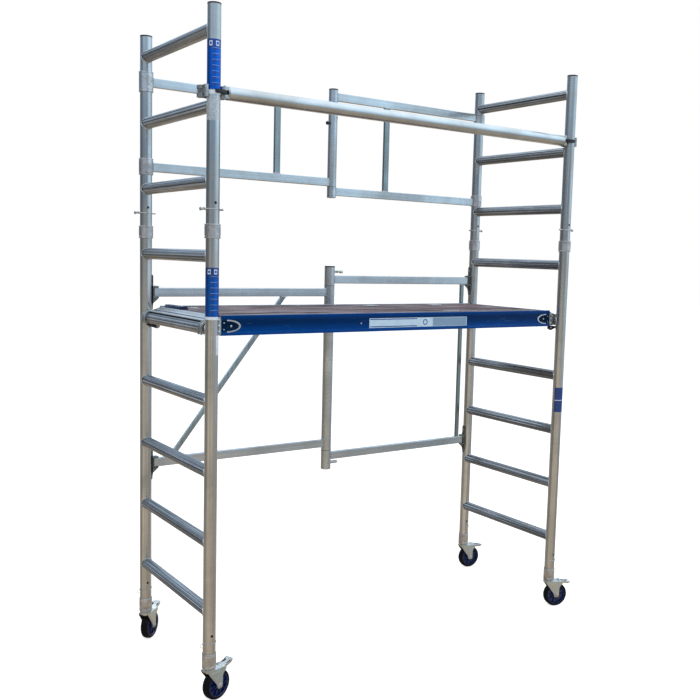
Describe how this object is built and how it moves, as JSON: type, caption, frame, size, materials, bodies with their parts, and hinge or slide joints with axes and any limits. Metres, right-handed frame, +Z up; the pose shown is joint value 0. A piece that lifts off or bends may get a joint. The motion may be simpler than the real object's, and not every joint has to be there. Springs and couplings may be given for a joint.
{
  "type": "frame scaffold section",
  "caption": "Folding aluminium room scaffold of two stacked ladder-frame modules on braked castors, with a hatch platform, guard rail and folding rear gates.",
  "frame": {"origin": "middle of the footprint of the bounding box, on the floor", "axes": "+X along the platform from the left to the right end frame, +Y from the guard-rail side to the gate side, +Z up"},
  "size_m": [2.0726, 0.838, 2.7],
  "materials": {
    "frame_aluminium": "extruded, satin, lightly scratched",
    "rail_aluminium": "extruded, satin",
    "cast_aluminium": "sand cast, matt",
    "grey_coupling": "dull, scuffed",
    "pale_plastic": "moulded, scuffed",
    "zinc_steel": "yellow-tinged zinc plate",
    "blue_rail": "blue coated extrusion, satin",
    "ply": "film-faced plywood, reddish brown, worn",
    "black_plastic": "moulded nylon",
    "tyre": "matt rubber",
    "hub": "moulded navy nylon",
    "label": "printed film, blank"
  },
  "bodies": {
    "root": {"left_lower_frame": "frame_aluminium", "left_upper_frame": "frame_aluminium", "right_lower_frame": "frame_aluminium", "right_upper_frame": "frame_aluminium", "spigot_left_near": "grey_coupling", "castor_socket_left_near": "pale_plastic", "deck_hook_left_near": "cast_aluminium", "spigot_left_far": "grey_coupling", "castor_socket_left_far": "pale_plastic", "deck_hook_left_far": "cast_aluminium", "spigot_right_near": "grey_coupling", "castor_socket_right_near": "pale_plastic", "deck_hook_right_near": "cast_aluminium", "spigot_right_far": "grey_coupling", "castor_socket_right_far": "pale_plastic", "deck_hook_right_far": "cast_aluminium", "deck_rail_near": "blue_rail", "deck_rail_far": "blue_rail", "deck_panel": "ply", "cross_beam_left": "rail_aluminium", "cross_beam_right": "rail_aluminium", "end_beam_left": "rail_aluminium", "end_beam_right": "rail_aluminium", "guard_rail": "rail_aluminium", "rail_claw_left": "cast_aluminium", "rail_claw_right": "cast_aluminium", "gate_collar_bottom": "grey_coupling", "gate_collar_top": "grey_coupling", "hinge_bracket_left_bottom": "cast_aluminium", "hinge_bracket_left_top": "cast_aluminium", "hinge_bracket_right_bottom": "cast_aluminium", "hinge_bracket_right_top": "cast_aluminium"},
    "lower_gate_left": {"lower_gate_left": "rail_aluminium"},
    "lower_gate_right": {"lower_gate_right": "rail_aluminium"},
    "upper_gate_left": {"upper_gate_left": "rail_aluminium"},
    "upper_gate_right": {"upper_gate_right": "rail_aluminium"},
    "post_latch": {"post_latch": "zinc_steel"},
    "hatch": {"hatch": "ply"},
    "castor_fork_left_near": {"castor_fork_left_near": "zinc_steel"},
    "castor_wheel_left_near": {"castor_wheel_left_near": "tyre"},
    "brake_pedal_left_near": {"brake_pedal_left_near": "zinc_steel"},
    "castor_fork_left_far": {"castor_fork_left_far": "zinc_steel"},
    "castor_wheel_left_far": {"castor_wheel_left_far": "tyre"},
    "brake_pedal_left_far": {"brake_pedal_left_far": "zinc_steel"},
    "castor_fork_right_near": {"castor_fork_right_near": "zinc_steel"},
    "castor_wheel_right_near": {"castor_wheel_right_near": "tyre"},
    "brake_pedal_right_near": {"brake_pedal_right_near": "zinc_steel"},
    "castor_fork_right_far": {"castor_fork_right_far": "zinc_steel"},
    "castor_wheel_right_far": {"castor_wheel_right_far": "tyre"},
    "brake_pedal_right_far": {"brake_pedal_right_far": "zinc_steel"},
    "claw_latch_left": {"claw_latch_left": "black_plastic"},
    "claw_latch_right": {"claw_latch_right": "black_plastic"},
    "wind_lock_right_near": {"wind_lock_right_near": "black_plastic"},
    "wind_lock_left_far": {"wind_lock_left_far": "black_plastic"},
    "lock_pin_left_near": {"lock_pin_left_near": "zinc_steel"},
    "lock_pin_left_far": {"lock_pin_left_far": "zinc_steel"},
    "lock_pin_right_near": {"lock_pin_right_near": "zinc_steel"},
    "lock_pin_right_far": {"lock_pin_right_far": "zinc_steel"}
  },
  "joints": [
    {"name": "lower_gate_fold", "type": "hinge", "parent": "root", "child": "lower_gate_left", "pos_m": [-0.93829, 0.32922, 1.2], "axis": [0, 0, 1], "range_deg": [0, 85]},
    {"name": "lower_gate_post", "type": "hinge", "parent": "lower_gate_left", "child": "lower_gate_right", "pos_m": [-0.03329, 0.32922, 1.2], "axis": [0, 0, 1], "range_deg": [-170, 0]},
    {"name": "post_latch_pull", "type": "slide", "parent": "lower_gate_right", "child": "post_latch", "axis": [1, 0, 0], "range_m": [0, 0.012], "stiffness_N_per_m": 300},
    {"name": "upper_gate_fold", "type": "hinge", "parent": "root", "child": "upper_gate_left", "pos_m": [-0.98329, 0.32922, 2.33], "axis": [0, 0, 1], "range_deg": [0, 85]},
    {"name": "upper_gate_post", "type": "hinge", "parent": "upper_gate_left", "child": "upper_gate_right", "pos_m": [-0.03329, 0.32922, 2.33], "axis": [0, 0, 1], "range_deg": [-170, 0]},
    {"name": "hatch_lift", "type": "hinge", "parent": "root", "child": "hatch", "pos_m": [0.34671, 0.21422, 1.5392], "axis": [-1, 0, 0], "range_deg": [0, 95]},
    {"name": "swivel_left_near", "type": "hinge", "parent": "root", "child": "castor_fork_left_near", "pos_m": [-0.98329, -0.36078, 0.138], "axis": [0, 0, 1], "continuous": true},
    {"name": "wheel_spin_left_near", "type": "hinge", "parent": "castor_fork_left_near", "child": "castor_wheel_left_near", "pos_m": [-0.94695, -0.34967, 0.06173], "axis": [-0.2924, 0.9563, 0], "continuous": true},
    {"name": "brake_left_near", "type": "hinge", "parent": "castor_fork_left_near", "child": "brake_pedal_left_near", "pos_m": [-0.92018, -0.34148, 0.126], "axis": [0.2924, -0.9563, 0], "range_deg": [-26, 0]},
    {"name": "swivel_left_far", "type": "hinge", "parent": "root", "child": "castor_fork_left_far", "pos_m": [-0.98329, 0.32922, 0.138], "axis": [0, 0, 1], "continuous": true},
    {"name": "wheel_spin_left_far", "type": "hinge", "parent": "castor_fork_left_far", "child": "castor_wheel_left_far", "pos_m": [-0.95505, 0.35465, 0.06173], "axis": [-0.6691, 0.7431, 0], "continuous": true},
    {"name": "brake_left_far", "type": "hinge", "parent": "castor_fork_left_far", "child": "brake_pedal_left_far", "pos_m": [-0.93425, 0.37339, 0.126], "axis": [0.6691, -0.7431, 0], "range_deg": [-26, 0]},
    {"name": "swivel_right_near", "type": "hinge", "parent": "root", "child": "castor_fork_right_near", "pos_m": [0.91671, -0.36078, 0.138], "axis": [0, 0, 1], "continuous": true},
    {"name": "wheel_spin_right_near", "type": "hinge", "parent": "castor_fork_right_near", "child": "castor_wheel_right_near", "pos_m": [0.95241, -0.37377, 0.06173], "axis": [0.342, 0.9397, 0], "continuous": true},
    {"name": "brake_right_near", "type": "hinge", "parent": "castor_fork_right_near", "child": "brake_pedal_right_near", "pos_m": [0.97873, -0.38335, 0.126], "axis": [-0.342, -0.9397, 0], "range_deg": [0, 26]},
    {"name": "swivel_right_far", "type": "hinge", "parent": "root", "child": "castor_fork_right_far", "pos_m": [0.91671, 0.32922, 0.138], "axis": [0, 0, 1], "continuous": true},
    {"name": "wheel_spin_right_far", "type": "hinge", "parent": "castor_fork_right_far", "child": "castor_wheel_right_far", "pos_m": [0.95413, 0.32263, 0.06173], "axis": [0.1736, 0.9848, 0], "continuous": true},
    {"name": "brake_right_far", "type": "hinge", "parent": "castor_fork_right_far", "child": "brake_pedal_right_far", "pos_m": [0.9817, 0.31776, 0.126], "axis": [-0.1736, -0.9848, 0], "range_deg": [0, 26]},
    {"name": "claw_trigger_left", "type": "hinge", "parent": "root", "child": "claw_latch_left", "pos_m": [-0.94329, -0.37278, 2.38], "axis": [0, 0, 1], "range_deg": [0, 35], "stiffness_Nm_per_rad": 0.2, "springref_deg": -11.46},
    {"name": "claw_trigger_right", "type": "hinge", "parent": "root", "child": "claw_latch_right", "pos_m": [0.87671, -0.37278, 2.38], "axis": [0, 0, -1], "range_deg": [0, 35], "stiffness_Nm_per_rad": 0.2, "springref_deg": -11.46},
    {"name": "wind_lock_swing_right_near", "type": "hinge", "parent": "root", "child": "wind_lock_right_near", "pos_m": [0.87971, -0.32277, 1.454], "axis": [0, 1, 0], "range_deg": [0, 60], "stiffness_Nm_per_rad": 0.1, "springref_deg": -17.19},
    {"name": "wind_lock_swing_left_far", "type": "hinge", "parent": "root", "child": "wind_lock_left_far", "pos_m": [-0.94629, 0.29123, 1.454], "axis": [0, -1, 0], "range_deg": [0, 60], "stiffness_Nm_per_rad": 0.1, "springref_deg": -17.19},
    {"name": "lock_pin_pull_left_near", "type": "slide", "parent": "root", "child": "lock_pin_left_near", "axis": [-1, 0, 0], "range_m": [0, 0.067]},
    {"name": "lock_pin_pull_left_far", "type": "slide", "parent": "root", "child": "lock_pin_left_far", "axis": [-1, 0, 0], "range_m": [0, 0.067]},
    {"name": "lock_pin_pull_right_near", "type": "slide", "parent": "root", "child": "lock_pin_right_near", "axis": [1, 0, 0], "range_m": [0, 0.067]},
    {"name": "lock_pin_pull_right_far", "type": "slide", "parent": "root", "child": "lock_pin_right_far", "axis": [1, 0, 0], "range_m": [0, 0.067]}
  ],
  "couplings": [
    {"joint": "lower_gate_post", "follows": "lower_gate_fold", "ratio": -2},
    {"joint": "upper_gate_post", "follows": "upper_gate_fold", "ratio": -2}
  ]
}
